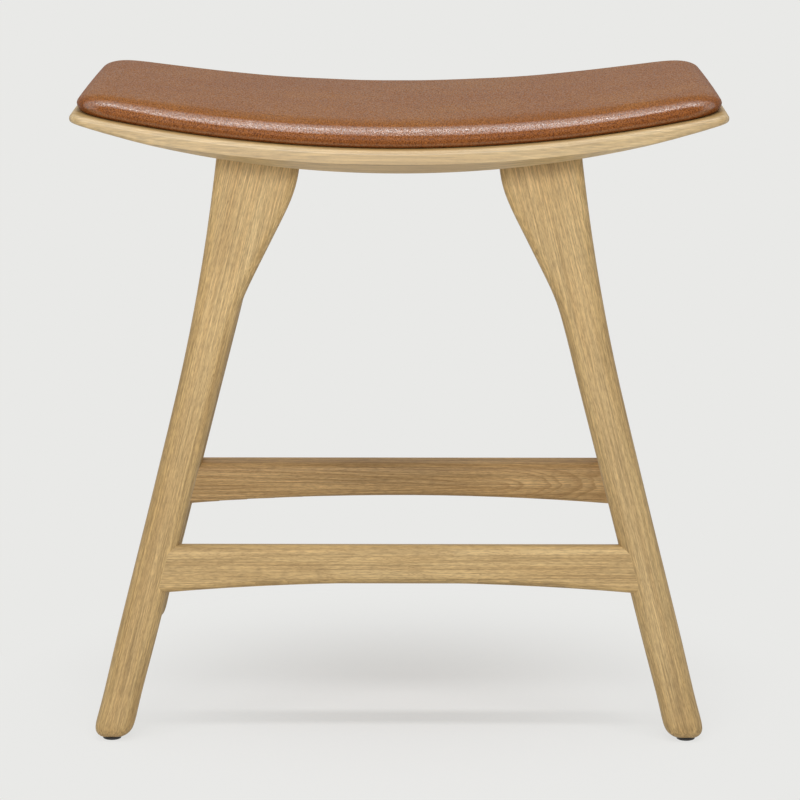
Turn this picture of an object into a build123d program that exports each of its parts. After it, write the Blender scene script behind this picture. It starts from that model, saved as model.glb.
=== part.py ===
from build123d import *
import math
import os

# A low stool: four splayed oak legs in two leaning frames, one front and one back,
# an oak seat plate with a saddle curve, and a thin leather pad on it.
# Millimetres. X runs across the stool, the front is at -Y, the floor is Z = 0.

# Overall
seat_width = 493.5
seat_depth = 323.0
frame_lean = 0.168
cut_margin = 12.0

# Seat plate
plate_top_height = 449.0
plate_top_radius = 1225.0
plate_middle_thickness = 18.3
plate_end_thickness = 6.3
plate_side_bow = 18.5
plate_end_bow = 0.9
plate_corner_radius = 11.0
plate_rim_height = 10.4
plate_bevel_run = 11.8
plate_bevel_drop = 8.3
plate_top_round = 3.2
plate_under_round = 2.4

# Legs: places and slopes at the floor, and bends at drops below the seat plate's top
leg_outer_foot = 233.5
leg_inner_foot = 204.4
leg_outer_slope = 0.2495
leg_inner_slope = 0.2575
leg_outer_bend_drop = 209.0
leg_outer_top_slope = 0.094
leg_knee_start_drop = 135.0
leg_knee_end_drop = 105.0
leg_flare_slope = 0.505
leg_shoulder_drop = 69.0
leg_inner_top_slope = 0.16
leg_foot_spread = 169.8
leg_foot_thickness = 27.0
leg_top_thickness = 33.0
leg_corner_round = 10.5
leg_flare_round = 6.5
leg_foot_round = 9.5

# Stretchers
stretcher_under_height = 110.0
stretcher_height = 36.5
stretcher_thickness = 23.5
stretcher_set_back = 0.8
stretcher_arch_rise = 8.0
stretcher_top_round = 7.5
stretcher_under_round = 4.5
tenon_height = 22.0
tenon_thickness = 10.0
tenon_length = 17.0
tenon_round = 4.5

# Side rails under the seat, in line with the middle of the flared leg tops
rail_thickness = 23.4
rail_drop = 72.0
rail_arch_rise = 14.0
rail_edge_round = 5.0

# Dowels between the rails and the legs
dowel_diameter = 8.0
dowel_length = 30.0
dowel_chamfer = 0.8
dowel_rise = 16.0
dowel_spacing = 25.0

# Screws from the rails up into the seat plate
seat_screw_diameter = 4.0
seat_screw_length = 40.0
seat_screw_bite = 12.0
seat_screw_head = 8.0
seat_screw_head_height = 2.6
seat_screw_point = 4.0
seat_screw_spacing = 45.0
seat_screw_count = 3
seat_screw_pocket = 9.4
drive_recess = 2.4

# Pad
pad_side_margin = 8.5
pad_end_margin = 3.7
pad_side_height = 17.6
pad_crown = 4.6
pad_corner_radius = 27.0
pad_top_round = 11.5
pad_under_round = 5.0
leather_thickness = 1.3
hem_width = 24.0
board_thickness = 6.0
board_margin = 4.0

# Screws and tee nuts that hold the pad down
pad_screw_diameter = 5.0
pad_screw_head = 9.5
pad_screw_head_height = 2.8
pad_screw_recess = 3.6
pad_screw_across = 165.0
pad_screw_along = 74.0
tee_nut_barrel = 7.2
tee_nut_flange = 17.0
tee_nut_flange_height = 1.2
tee_nut_barrel_height = 5.2

# Staples in the hem
staple_width = 10.0
staple_wire = 0.8
staple_leg = 5.0
staple_inset = 17.0
staple_side_count = 9
staple_end_count = 5

# Feet
glide_diameter = 14.0
glide_height = 2.0
glide_round = 0.8
glide_nail_diameter = 2.4
glide_nail_length = 15.0
glide_nail_head = 7.0
glide_nail_head_height = 0.9

# Clearances
seat_gap = 0.15
bore_gap = 0.1

os.makedirs("parts", exist_ok=True)


def saddle_height(across, middle_height, radius):
    return middle_height + radius - math.sqrt(radius**2 - across**2)


def plate_top(across):
    return saddle_height(across, plate_top_height, plate_top_radius)


def plate_under(across):
    return saddle_height(across, plate_under_height, plate_under_radius)


def edge_place(height, foot_place, bends):
    # An edge leaves the foot inwards. Each bend is a height and the slope there,
    # and the slope changes evenly from one bend to the next.
    place = foot_place
    for (low, low_slope), (high, high_slope) in zip(bends, bends[1:]):
        reach = min(max(height - low, 0), high - low)
        change = (high_slope - low_slope) / (high - low)
        place -= low_slope * reach + change * reach**2 / 2
    return place


def leg_outer(height):
    return edge_place(height, leg_outer_foot, [
        (0, leg_outer_slope),
        (leg_outer_bend_start, leg_outer_slope),
        (leg_top_height, leg_outer_top_slope),
    ])


def leg_inner(height):
    return edge_place(height, leg_inner_foot, [
        (0, leg_inner_slope),
        (leg_knee_start, leg_inner_slope),
        (leg_knee_end, leg_flare_slope),
        (leg_shoulder_start, leg_flare_slope),
        (leg_top_height, leg_inner_top_slope),
    ])


def leg_thickness(height):
    growth = (leg_top_thickness - leg_foot_thickness) / leg_top_height
    return leg_foot_thickness + growth * height


def leg_middle_depth(height):
    return leg_foot_spread - frame_lean * height


def leg_round(height):
    share = (height - leg_knee_start) / (leg_top_height - leg_knee_start)
    share = min(max(share, 0), 1)
    return leg_corner_round + (leg_flare_round - leg_corner_round) * share


plate_under_height = plate_top_height - plate_middle_thickness
plate_under_sag = plate_top(seat_width / 2) - plate_end_thickness - plate_under_height
plate_under_radius = ((seat_width / 2)**2 + plate_under_sag**2) / (2 * plate_under_sag)
leg_outer_bend_start = plate_top_height - leg_outer_bend_drop
leg_knee_start = plate_top_height - leg_knee_start_drop
leg_knee_end = plate_top_height - leg_knee_end_drop
leg_shoulder_start = plate_top_height - leg_shoulder_drop
leg_top_height = plate_top_height + cut_margin
rail_under_height = plate_top_height - rail_drop
rail_middle_height = (rail_under_height + plate_under_height) / 2
rail_place = (leg_outer(rail_middle_height) + leg_inner(rail_middle_height)) / 2
rail_reach = leg_middle_depth(rail_under_height)
sides = {"left": -1, "right": 1}
rows = {"front": -1, "back": 1}


def barrel_outline(half_width, half_depth, side_bow, end_bow):
    # A rectangle whose four edges bow outwards, as lines of the current sketch.
    corner_across = half_width - end_bow
    corner_along = half_depth - side_bow
    for turn in (-1, 1):
        ThreePointArc((-corner_across, turn * corner_along), (0, turn * half_depth),
                      (corner_across, turn * corner_along))
        ThreePointArc((turn * corner_across, -corner_along), (turn * half_width, 0),
                      (turn * corner_across, corner_along))


def plate_plane(across, along, rise=0.0, x_dir=(1, 0, 0)):
    # Square to the top of the seat plate, and rise above it.
    lean = across / plate_top_radius
    upright = (-lean, 0, math.sqrt(1 - lean**2))
    return Plane((across, along, plate_top(across)), x_dir=x_dir, z_dir=upright).offset(rise)


# Space above the underside of the seat plate, which trims what stands under it
with BuildPart() as over_plate_under:
    with BuildSketch(Plane.XZ):
        with BuildLine():
            half = seat_width / 2
            edge = plate_under(half)
            ThreePointArc((-half, edge), (0, plate_under_height), (half, edge))
            Polyline((half, edge), (half, edge + seat_depth), (-half, edge + seat_depth),
                     (-half, edge))
        make_face()
    extrude(amount=seat_depth, both=True)

# Pins and screws are made first, because the wood is bored for them

# Dowels lie along Y, half in the rail and half in the leg
dowel_places = []
for side in sides.values():
    for row in rows.values():
        for step in (0, 1):
            height = rail_under_height + dowel_rise + step * dowel_spacing
            depth = leg_middle_depth(height) - leg_thickness(height) / 2
            dowel_places.append((side * rail_place, row * depth, height))

with BuildPart() as rail_dowels:
    for place in dowel_places:
        with BuildSketch(Plane.XZ.offset(-place[1])):
            with Locations((place[0], place[2])):
                Circle(dowel_diameter / 2)
        extrude(amount=dowel_length / 2, both=True)
    chamfer(rail_dowels.edges().filter_by(GeomType.CIRCLE), dowel_chamfer)

with BuildPart() as dowel_bores:
    for place in dowel_places:
        with BuildSketch(Plane.XZ.offset(-place[1])):
            with Locations((place[0], place[2])):
                Circle(dowel_diameter / 2 + bore_gap)
        extrude(amount=dowel_length / 2 + bore_gap, both=True)

# Seat screws stand upright in deep pockets in the rails
seat_screw_tip = plate_under(rail_place) + seat_screw_bite
seat_screw_seat = seat_screw_tip - seat_screw_length
seat_screw_row = GridLocations(2 * rail_place, seat_screw_spacing, 2, seat_screw_count)

with BuildPart() as seat_screws:
    with BuildSketch(Plane.XY.offset(seat_screw_seat - seat_screw_head_height)):
        with seat_screw_row:
            Circle(seat_screw_head / 2)
    extrude(amount=seat_screw_head_height)
    with BuildSketch(Plane.XY.offset(seat_screw_seat)):
        with seat_screw_row:
            Circle(seat_screw_diameter / 2)
    extrude(amount=seat_screw_length)
    tips = seat_screws.faces().group_by(Axis.Z)[-1].edges()
    chamfer(tips, seat_screw_point, seat_screw_diameter / 2 - seat_gap)
    with BuildSketch(Plane.XY.offset(seat_screw_seat - seat_screw_head_height)):
        with seat_screw_row:
            RegularPolygon(drive_recess, 6)
    extrude(amount=seat_screw_head_height / 2, mode=Mode.SUBTRACT)

with BuildPart() as seat_screw_bores:
    with BuildSketch(Plane.XY.offset(seat_screw_seat)):
        with seat_screw_row:
            Circle(seat_screw_diameter / 2 + bore_gap)
    extrude(amount=seat_screw_length + bore_gap)
    with BuildSketch(Plane.XY.offset(rail_under_height - cut_margin)):
        with seat_screw_row:
            Circle(seat_screw_pocket / 2)
    extrude(amount=seat_screw_seat - rail_under_height + cut_margin)

# Pad screws stand square to the seat plate, their heads sunk in its underside
pad_screw_planes = [
    plate_plane(side * pad_screw_across, row * pad_screw_along)
    for side in sides.values() for row in rows.values()
]
pad_screw_depth = plate_top(pad_screw_across) - plate_under(pad_screw_across)
pad_screw_seat = pad_screw_depth - pad_screw_recess - pad_screw_head_height
pad_board_rise = seat_gap + leather_thickness + seat_gap
pad_screw_end = pad_board_rise + board_thickness

with BuildPart() as pad_screws:
    for plane in pad_screw_planes:
        with BuildSketch(plane.offset(-pad_screw_seat - pad_screw_head_height)):
            Circle(pad_screw_head / 2)
        extrude(amount=pad_screw_head_height)
        with BuildSketch(plane.offset(-pad_screw_seat)):
            Circle(pad_screw_diameter / 2)
        extrude(amount=pad_screw_seat + pad_screw_end)
        with BuildSketch(plane.offset(-pad_screw_seat - pad_screw_head_height)):
            RegularPolygon(drive_recess, 6)
        extrude(amount=pad_screw_head_height / 2, mode=Mode.SUBTRACT)

with BuildPart() as pad_screw_bores:
    for plane in pad_screw_planes:
        with BuildSketch(plane.offset(-pad_screw_seat)):
            Circle(pad_screw_diameter / 2 + bore_gap)
        extrude(amount=pad_screw_seat + pad_screw_end + bore_gap)
        with BuildSketch(plane.offset(-pad_screw_seat)):
            Circle(pad_screw_head / 2 + bore_gap)
        extrude(amount=-pad_screw_head_height - pad_screw_recess - cut_margin)

with BuildPart() as tee_nuts:
    for plane in pad_screw_planes:
        with BuildSketch(plane.offset(pad_screw_end - tee_nut_barrel_height)):
            Circle(tee_nut_barrel / 2)
        extrude(amount=tee_nut_barrel_height)
        with BuildSketch(plane.offset(pad_screw_end)):
            Circle(tee_nut_flange / 2)
        extrude(amount=tee_nut_flange_height)
        with BuildSketch(plane.offset(pad_screw_end - tee_nut_barrel_height)):
            Circle(pad_screw_diameter / 2 + bore_gap)
        extrude(amount=tee_nut_barrel_height + tee_nut_flange_height, mode=Mode.SUBTRACT)

with BuildPart() as tee_nut_bores:
    for plane in pad_screw_planes:
        with BuildSketch(plane.offset(pad_screw_end - tee_nut_barrel_height - bore_gap)):
            Circle(tee_nut_barrel / 2 + bore_gap)
        extrude(amount=tee_nut_barrel_height + 2 * bore_gap)
        with BuildSketch(plane.offset(pad_screw_end)):
            Circle(tee_nut_flange / 2 + bore_gap)
        extrude(amount=tee_nut_flange_height + bore_gap)

# Glides with their nails, one under each foot
glide_across = (leg_outer(glide_height) + leg_inner(glide_height)) / 2
glide_along = leg_middle_depth(glide_height)
glide_nail_base = glide_height - glide_nail_head_height - seat_gap

with BuildPart() as glide_nails:
    with BuildSketch(Plane.XY.offset(glide_nail_base)):
        with GridLocations(2 * glide_across, 2 * glide_along, 2, 2):
            Circle(glide_nail_head / 2)
    extrude(amount=glide_nail_head_height)
    with BuildSketch(Plane.XY.offset(glide_nail_base)):
        with GridLocations(2 * glide_across, 2 * glide_along, 2, 2):
            Circle(glide_nail_diameter / 2)
    extrude(amount=glide_nail_length)
    points = glide_nails.faces().group_by(Axis.Z)[-1].edges()
    chamfer(points, glide_nail_diameter, glide_nail_diameter / 2 - seat_gap)
glide_nails.part.label = "glide_nails"
export_step(glide_nails.part, "parts/glide_nails.step")

with BuildPart() as glide_nail_bores:
    with BuildSketch(Plane.XY.offset(glide_nail_base)):
        with GridLocations(2 * glide_across, 2 * glide_along, 2, 2):
            Circle(glide_nail_head / 2 + bore_gap)
    extrude(amount=glide_nail_head_height + bore_gap)
    with BuildSketch(Plane.XY.offset(glide_nail_base)):
        with GridLocations(2 * glide_across, 2 * glide_along, 2, 2):
            Circle(glide_nail_diameter / 2 + bore_gap)
    extrude(amount=glide_nail_length + bore_gap)

for row_name, row in rows.items():
    for side_name, side in sides.items():
        with BuildPart() as glide:
            with BuildSketch():
                with Locations((side * glide_across, row * glide_along)):
                    Circle(glide_diameter / 2)
            extrude(amount=glide_height)
            fillet(glide.faces().sort_by(Axis.Z)[0].edges(), glide_round)
            add(glide_nail_bores.part, mode=Mode.SUBTRACT)
        glide.part.label = f"{row_name}_{side_name}_glide"
        export_step(glide.part, f"parts/{row_name}_{side_name}_glide.step")

# Tenons of the stretchers, and the mortises for them, in the plane of each frame
stretcher_middle = stretcher_under_height + stretcher_height / 2
stretcher_back_off = (leg_thickness(stretcher_middle) / 2 - stretcher_set_back
                      - stretcher_thickness / 2)
tenon_across = leg_inner(stretcher_middle) + tenon_length


def frame_plane(row):
    # The plane that leans with a frame, at the middle of its stretcher.
    depth = leg_middle_depth(stretcher_middle) + stretcher_back_off
    return Plane((0, row * depth, stretcher_middle), x_dir=(1, 0, 0),
                 z_dir=(0, -1, -row * frame_lean))


tenons = {}
mortises = {}
for row_name, row in rows.items():
    with BuildPart() as tenon:
        with BuildSketch(frame_plane(row)):
            RectangleRounded(2 * tenon_across, tenon_height, tenon_round)
        extrude(amount=tenon_thickness / 2, both=True)
    with BuildPart() as mortise:
        with BuildSketch(frame_plane(row)):
            RectangleRounded(2 * (tenon_across + bore_gap), tenon_height + 2 * bore_gap,
                             tenon_round)
        extrude(amount=tenon_thickness / 2 + bore_gap, both=True)
    tenons[row_name] = tenon.part
    mortises[row_name] = mortise.part

# Legs: rounded sections one above the other, each level with the floor. The lowest
# draw in round the end of the foot.
foot_turn_shares = (0.0, 0.25, 0.5, 0.75)
foot_turns = [math.radians(90 * share) for share in foot_turn_shares]
leg_sections = [
    (glide_height + leg_foot_round * (1 - math.cos(turn)),
     leg_foot_round * (1 - math.sin(turn)))
    for turn in foot_turns
]
leg_heights = [
    glide_height + leg_foot_round,
    glide_height + 2 * leg_foot_round,
    leg_outer_bend_start / 4,
    leg_outer_bend_start / 2,
    leg_outer_bend_start,
    (leg_outer_bend_start + leg_knee_start) / 2,
    leg_knee_start,
    (leg_knee_start + leg_knee_end) / 2,
    leg_knee_end,
    (leg_knee_end + leg_shoulder_start) / 2,
    leg_shoulder_start,
    (leg_shoulder_start + leg_top_height) / 2,
    leg_top_height,
]
leg_sections += [(height, 0.0) for height in leg_heights]

legs = {}
for row_name, row in rows.items():
    for side_name, side in sides.items():
        with BuildPart() as leg:
            for height, inset in leg_sections:
                across = (leg_outer(height) + leg_inner(height)) / 2
                width = leg_outer(height) - leg_inner(height) - 2 * inset
                thickness = leg_thickness(height) - 2 * inset
                with BuildSketch(Plane.XY.offset(height)):
                    with Locations((side * across, row * leg_middle_depth(height))):
                        RectangleRounded(width, thickness, leg_round(height) - inset)
            loft()
            add([over_plate_under.part, mortises[row_name], dowel_bores.part,
                 glide_nail_bores.part], mode=Mode.SUBTRACT)
        leg.part.label = f"{row_name}_{side_name}_leg"
        legs[leg.part.label] = leg.part
        export_step(leg.part, f"parts/{leg.part.label}.step")

# Stretchers: arched underneath, let into the rounded inner edges of the legs
for row_name, row in rows.items():
    with BuildPart() as stretcher:
        with BuildSketch(frame_plane(row)):
            with BuildLine():
                reach = leg_inner(stretcher_middle) + leg_corner_round
                rise = stretcher_height / 2
                ThreePointArc((-reach, -rise), (0, -rise + stretcher_arch_rise),
                              (reach, -rise))
                Polyline((reach, -rise), (reach, rise), (-reach, rise), (-reach, -rise))
            make_face()
        extrude(amount=stretcher_thickness / 2, both=True)
        long_edges = stretcher.edges().filter_by(Axis.X)
        fillet(long_edges.sort_by(Axis.Z)[-2:], stretcher_top_round)
        fillet(stretcher.edges().filter_by(GeomType.CIRCLE).sort_by(Edge.length)[-2:],
               stretcher_under_round)
        add([legs[f"{row_name}_{side_name}_leg"] for side_name in sides],
            mode=Mode.SUBTRACT)
        add(tenons[row_name])
    stretcher.part.label = f"{row_name}_stretcher"
    export_step(stretcher.part, f"parts/{row_name}_stretcher.step")

# Side rails: from front leg to back leg, tight under the seat plate
for side_name, side in sides.items():
    with BuildPart() as rail:
        with BuildSketch(Plane.YZ.offset(side * rail_place)):
            with BuildLine():
                top = leg_top_height
                ThreePointArc((-rail_reach, rail_under_height),
                              (0, rail_under_height + rail_arch_rise),
                              (rail_reach, rail_under_height))
                Polyline((rail_reach, rail_under_height), (rail_reach, top),
                         (-rail_reach, top), (-rail_reach, rail_under_height))
            make_face()
        extrude(amount=rail_thickness / 2, both=True)
        fillet(rail.edges().filter_by(GeomType.CIRCLE), rail_edge_round)
        own_legs = [legs[f"{row_name}_{side_name}_leg"] for row_name in rows]
        add([over_plate_under.part, dowel_bores.part, seat_screw_bores.part] + own_legs,
            mode=Mode.SUBTRACT)
    rail.part.label = f"{side_name}_side_rail"
    export_step(rail.part, f"parts/{side_name}_side_rail.step")

rail_dowels.part.label = "rail_dowels"
export_step(rail_dowels.part, "parts/rail_dowels.step")
seat_screws.part.label = "seat_screws"
export_step(seat_screws.part, "parts/seat_screws.step")

# Seat plate: a saddle on top, a rounder belly below, bevelled along front and back
with BuildPart() as seat_plate:
    with BuildSketch(Plane.XZ):
        with BuildLine():
            half = seat_width / 2 + cut_margin
            top_end = plate_top(half)
            under_end = plate_under(half)
            ThreePointArc((-half, top_end), (0, plate_top_height), (half, top_end))
            Line((half, top_end), (half, under_end))
            ThreePointArc((half, under_end), (0, plate_under_height), (-half, under_end))
            Line((-half, under_end), (-half, top_end))
        make_face()
    extrude(amount=seat_depth, both=True)
    with BuildSketch():
        with BuildLine():
            barrel_outline(seat_width / 2, seat_depth / 2, plate_side_bow, plate_end_bow)
        make_face()
        fillet(vertices(), plate_corner_radius)
    extrude(amount=plate_top(seat_width / 2) + cut_margin, mode=Mode.INTERSECT)
    broad_faces = seat_plate.faces().filter_by(GeomType.CYLINDER).sort_by(SortBy.AREA)[-2:]
    fillet(broad_faces.sort_by(Axis.Z)[0].edges(), plate_under_round)
    for row in rows.values():
        # The upper line of the bevel stays level with the rim along the bowed edge
        bevel_slope = plate_bevel_drop / plate_bevel_run
        side_bow_radius = (seat_width / 2)**2 / (2 * plate_side_bow)
        bevel_radius = 1 / (1 / plate_top_radius + bevel_slope / side_bow_radius)
        bevel_top = plate_top_height - plate_rim_height
        end_height = saddle_height(half, bevel_top, bevel_radius)
        with BuildSketch(Plane.XZ.offset(-row * seat_depth / 2)):
            with BuildLine():
                ThreePointArc((-half, end_height), (0, bevel_top), (half, end_height))
                low = bevel_top - plate_middle_thickness - cut_margin
                Polyline((half, end_height), (half, low), (-half, low),
                         (-half, end_height))
            make_face()
        extrude(amount=cut_margin + seat_depth / 2,
                dir=(0, -row * plate_bevel_run, -plate_bevel_drop), mode=Mode.SUBTRACT)
    broad_faces = seat_plate.faces().filter_by(GeomType.CYLINDER).sort_by(SortBy.AREA)[-2:]
    fillet(broad_faces.sort_by(Axis.Z)[-1].edges(), plate_top_round)
    add([pad_screw_bores.part, seat_screw_bores.part], mode=Mode.SUBTRACT)
seat_plate.part.label = "seat_plate"
export_step(seat_plate.part, "parts/seat_plate.step")


def saddle_pad(inset, base_rise, side_height, crown=0.0, top_round=0.0, under_round=0.0):
    # A pad that follows the saddle, base_rise above the seat plate: one section swung
    # about the axis of the saddle, trimmed to the bowed outline and rounded off.
    half_width = seat_width / 2 - pad_end_margin - inset
    half_depth = seat_depth / 2 - pad_side_margin - inset
    side = half_depth + cut_margin
    half_swing = math.degrees(math.asin((half_width + cut_margin) / plate_top_radius))
    axis_height = plate_top_height + plate_top_radius
    start = Plane((0, 0, axis_height), x_dir=(0, 1, 0),
                  z_dir=(math.cos(math.radians(half_swing)), 0,
                         math.sin(math.radians(half_swing))))
    base = base_rise - plate_top_radius
    shoulder = base + side_height
    with BuildPart() as pad:
        with BuildSketch(start):
            with BuildLine():
                Polyline((-side, shoulder), (-side, base), (side, base), (side, shoulder))
                if crown > 0:
                    ThreePointArc((side, shoulder), (0, shoulder + crown),
                                  (-side, shoulder))
                else:
                    Line((side, shoulder), (-side, shoulder))
            make_face()
        revolve(axis=Axis((0, 0, axis_height), (0, 1, 0)), revolution_arc=2 * half_swing)
        with BuildSketch():
            with BuildLine():
                barrel_outline(half_width, half_depth, plate_side_bow, plate_end_bow)
            make_face()
            fillet(vertices(), max(pad_corner_radius - inset, pad_top_round))
        extrude(amount=plate_top(half_width) + seat_depth, mode=Mode.INTERSECT)
        if top_round > 0:
            broad = pad.faces().sort_by(SortBy.AREA)[-2:].sort_by(Axis.Z)
            fillet(broad[-1].edges(), top_round)
        if under_round > 0:
            broad = pad.faces().sort_by(SortBy.AREA)[-2:].sort_by(Axis.Z)
            fillet(broad[0].edges(), under_round)
    return pad.part


# Staples hold the turned-in hem of the cover to the board, sunk level with the leather
staple_planes = []
staple_across = seat_width / 2 - pad_end_margin - staple_inset
staple_along = seat_depth / 2 - pad_side_margin - staple_inset
for row in rows.values():
    for number in range(staple_side_count):
        share = 2 * number / (staple_side_count - 1) - 1
        across = share * (staple_across - pad_corner_radius)
        bow = plate_side_bow * (across / (seat_width / 2))**2
        staple_planes.append(plate_plane(across, row * (staple_along - bow), seat_gap))
for side in sides.values():
    for number in range(staple_end_count):
        share = 2 * number / (staple_end_count - 1) - 1
        along = share * (staple_along - plate_side_bow - pad_corner_radius)
        bow = plate_end_bow * (along / (seat_depth / 2))**2
        across = side * (staple_across - bow)
        staple_planes.append(plate_plane(across, along, seat_gap, x_dir=(0, 1, 0)))

with BuildPart() as staple:
    with BuildSketch():
        Rectangle(staple_width, staple_wire)
    extrude(amount=staple_wire)
    with BuildSketch():
        with GridLocations(staple_width - staple_wire, 0, 2, 1):
            Rectangle(staple_wire, staple_wire)
    extrude(amount=staple_leg)

with BuildPart() as cover_staples:
    with Locations(*staple_planes):
        add(staple.part)
cover_staples.part.label = "cover_staples"
export_step(cover_staples.part, "parts/cover_staples.step")

# Cover: a thin shell of leather over the pad, turned in underneath as a hem
cover_outside = saddle_pad(0, seat_gap, pad_side_height, pad_crown, pad_top_round,
                           pad_under_round)
cover_inside = saddle_pad(leather_thickness, seat_gap + leather_thickness,
                          pad_side_height - 2 * leather_thickness, pad_crown,
                          pad_top_round - leather_thickness,
                          pad_under_round - leather_thickness)
cover_opening = saddle_pad(hem_width, -cut_margin,
                           cut_margin + seat_gap + 2 * leather_thickness)
with BuildPart() as cushion_cover:
    add(cover_outside)
    add([cover_inside, cover_opening, cover_staples.part], mode=Mode.SUBTRACT)
cushion_cover.part.label = "cushion_cover"
export_step(cushion_cover.part, "parts/cushion_cover.step")

# Board: bent plywood that carries the foam and takes the staples and tee nuts
board_blank = saddle_pad(leather_thickness + board_margin, pad_board_rise,
                         board_thickness)
with BuildPart() as cushion_board:
    add(board_blank)
    add([cover_staples.part, tee_nut_bores.part, pad_screw_bores.part],
        mode=Mode.SUBTRACT)
cushion_board.part.label = "cushion_board"
export_step(cushion_board.part, "parts/cushion_board.step")

# Foam: fills the cover above the board
foam_blank = saddle_pad(leather_thickness + seat_gap, pad_board_rise,
                        pad_side_height - 2 * (leather_thickness + seat_gap), pad_crown,
                        pad_top_round - leather_thickness - seat_gap)
board_space = saddle_pad(-pad_side_margin, -cut_margin,
                         cut_margin + pad_board_rise + board_thickness + seat_gap)
with BuildPart() as cushion_foam:
    add(foam_blank)
    add([board_space, tee_nut_bores.part], mode=Mode.SUBTRACT)
cushion_foam.part.label = "cushion_foam"
export_step(cushion_foam.part, "parts/cushion_foam.step")

pad_screws.part.label = "pad_screws"
export_step(pad_screws.part, "parts/pad_screws.step")
tee_nuts.part.label = "tee_nuts"
export_step(tee_nuts.part, "parts/tee_nuts.step")
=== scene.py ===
import bpy
import bmesh
import math
from mathutils import Matrix, Vector


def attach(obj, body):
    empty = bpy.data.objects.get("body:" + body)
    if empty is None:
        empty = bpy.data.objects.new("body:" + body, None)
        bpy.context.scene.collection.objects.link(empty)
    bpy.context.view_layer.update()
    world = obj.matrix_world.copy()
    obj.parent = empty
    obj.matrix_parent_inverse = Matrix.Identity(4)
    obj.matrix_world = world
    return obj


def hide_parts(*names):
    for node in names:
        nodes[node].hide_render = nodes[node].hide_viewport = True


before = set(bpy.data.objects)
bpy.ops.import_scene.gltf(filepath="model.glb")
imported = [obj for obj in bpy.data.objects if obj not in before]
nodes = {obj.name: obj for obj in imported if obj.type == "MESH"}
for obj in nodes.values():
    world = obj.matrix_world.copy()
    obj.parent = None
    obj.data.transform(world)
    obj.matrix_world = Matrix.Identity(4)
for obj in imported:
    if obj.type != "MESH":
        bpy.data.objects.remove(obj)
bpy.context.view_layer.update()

print("frame loaded:", len(nodes), "nodes")


# Small helpers for shader trees

def linearOf(colour):
    # from a screen colour in 0..255 to the linear values that sockets take
    values = [c / 255 for c in colour]
    return tuple(v / 12.92 if v <= 0.04045 else ((v + 0.055) / 1.055) ** 2.4 for v in values) + (1.0,)


def startMaterial(name):
    material = bpy.data.materials.new(name)
    material.use_nodes = True
    tree = material.node_tree
    tree.nodes.clear()
    output = tree.nodes.new("ShaderNodeOutputMaterial")
    shader = tree.nodes.new("ShaderNodeBsdfPrincipled")
    tree.links.new(shader.outputs["BSDF"], output.inputs["Surface"])
    return material, tree, shader


def plug(tree, value, socket):
    # a link where the value is a socket, else a plain value
    if isinstance(value, bpy.types.NodeSocket):
        tree.links.new(value, socket)
    else:
        socket.default_value = value


def sums(tree, operation, first, second=None, third=None, clamp=False):
    node = tree.nodes.new("ShaderNodeMath")
    node.operation = operation
    node.use_clamp = clamp
    for value, socket in zip((first, second, third), node.inputs):
        if value is not None:
            plug(tree, value, socket)
    return node.outputs[0]


def lengthOf(tree, first, second):
    # of the long side of a right-angled triangle
    first = sums(tree, "MULTIPLY", first, first)
    second = sums(tree, "MULTIPLY", second, second)
    return sums(tree, "SQRT", sums(tree, "ADD", first, second))


def vectorSums(tree, operation, first, second):
    node = tree.nodes.new("ShaderNodeVectorMath")
    node.operation = operation
    plug(tree, first, node.inputs[0])
    if operation == "SCALE":
        plug(tree, second, node.inputs["Scale"])
    else:
        plug(tree, second, node.inputs[1])
    return node.outputs["Value" if operation == "DISTANCE" else 0]


def worldPlace(tree):
    # every mesh sits at the origin, so this is in metres of the shared frame
    return tree.nodes.new("ShaderNodeTexCoord").outputs["Object"]


def axesOf(tree, vector):
    node = tree.nodes.new("ShaderNodeSeparateXYZ")
    tree.links.new(vector, node.inputs[0])
    return node.outputs


def facingOf(tree):
    # 0 where a surface faces the eye, 1 where it is seen edge on
    node = tree.nodes.new("ShaderNodeLayerWeight")
    node.inputs["Blend"].default_value = 0.5
    return node.outputs["Facing"]


def seenRays(tree):
    # 1 for rays that end in the picture, straight or by way of gloss or glass
    rays = tree.nodes.new("ShaderNodeLightPath")
    seen = sums(tree, "MAXIMUM", rays.outputs["Is Camera Ray"], rays.outputs["Is Glossy Ray"])
    return sums(tree, "MAXIMUM", seen, rays.outputs["Is Transmission Ray"])


def noiseOf(tree, place, scale, detail=3.0, roughness=0.5, output="Fac"):
    node = tree.nodes.new("ShaderNodeTexNoise")
    plug(tree, place, node.inputs["Vector"])
    node.inputs["Scale"].default_value = scale
    node.inputs["Detail"].default_value = detail
    node.inputs["Roughness"].default_value = roughness
    return node.outputs[output]


def voronoiOf(tree, place, scale, feature="F1", output="Distance"):
    node = tree.nodes.new("ShaderNodeTexVoronoi")
    node.feature = feature
    plug(tree, place, node.inputs["Vector"])
    node.inputs["Scale"].default_value = scale
    return node.outputs[output]


def drawnNoise(tree, place, rates, detail=3.0, roughness=0.5):
    # noise that repeats at its own rate per metre along each axis
    return noiseOf(tree, vectorSums(tree, "MULTIPLY", place, rates), 1.0, detail, roughness)


def drawnDots(tree, place, rates):
    return voronoiOf(tree, vectorSums(tree, "MULTIPLY", place, rates), 1.0)


def rampOf(tree, value, stops):
    # stops are pairs of a place and a grey level or a colour
    node = tree.nodes.new("ShaderNodeValToRGB")
    plug(tree, value, node.inputs["Fac"])
    elements = node.color_ramp.elements
    while len(elements) < len(stops):
        elements.new(0.5)
    for element, (place, colour) in zip(elements, stops):
        element.position = place
        element.color = colour if hasattr(colour, "__len__") else (colour,) * 3 + (1.0,)
    return node.outputs["Color"]


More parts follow.
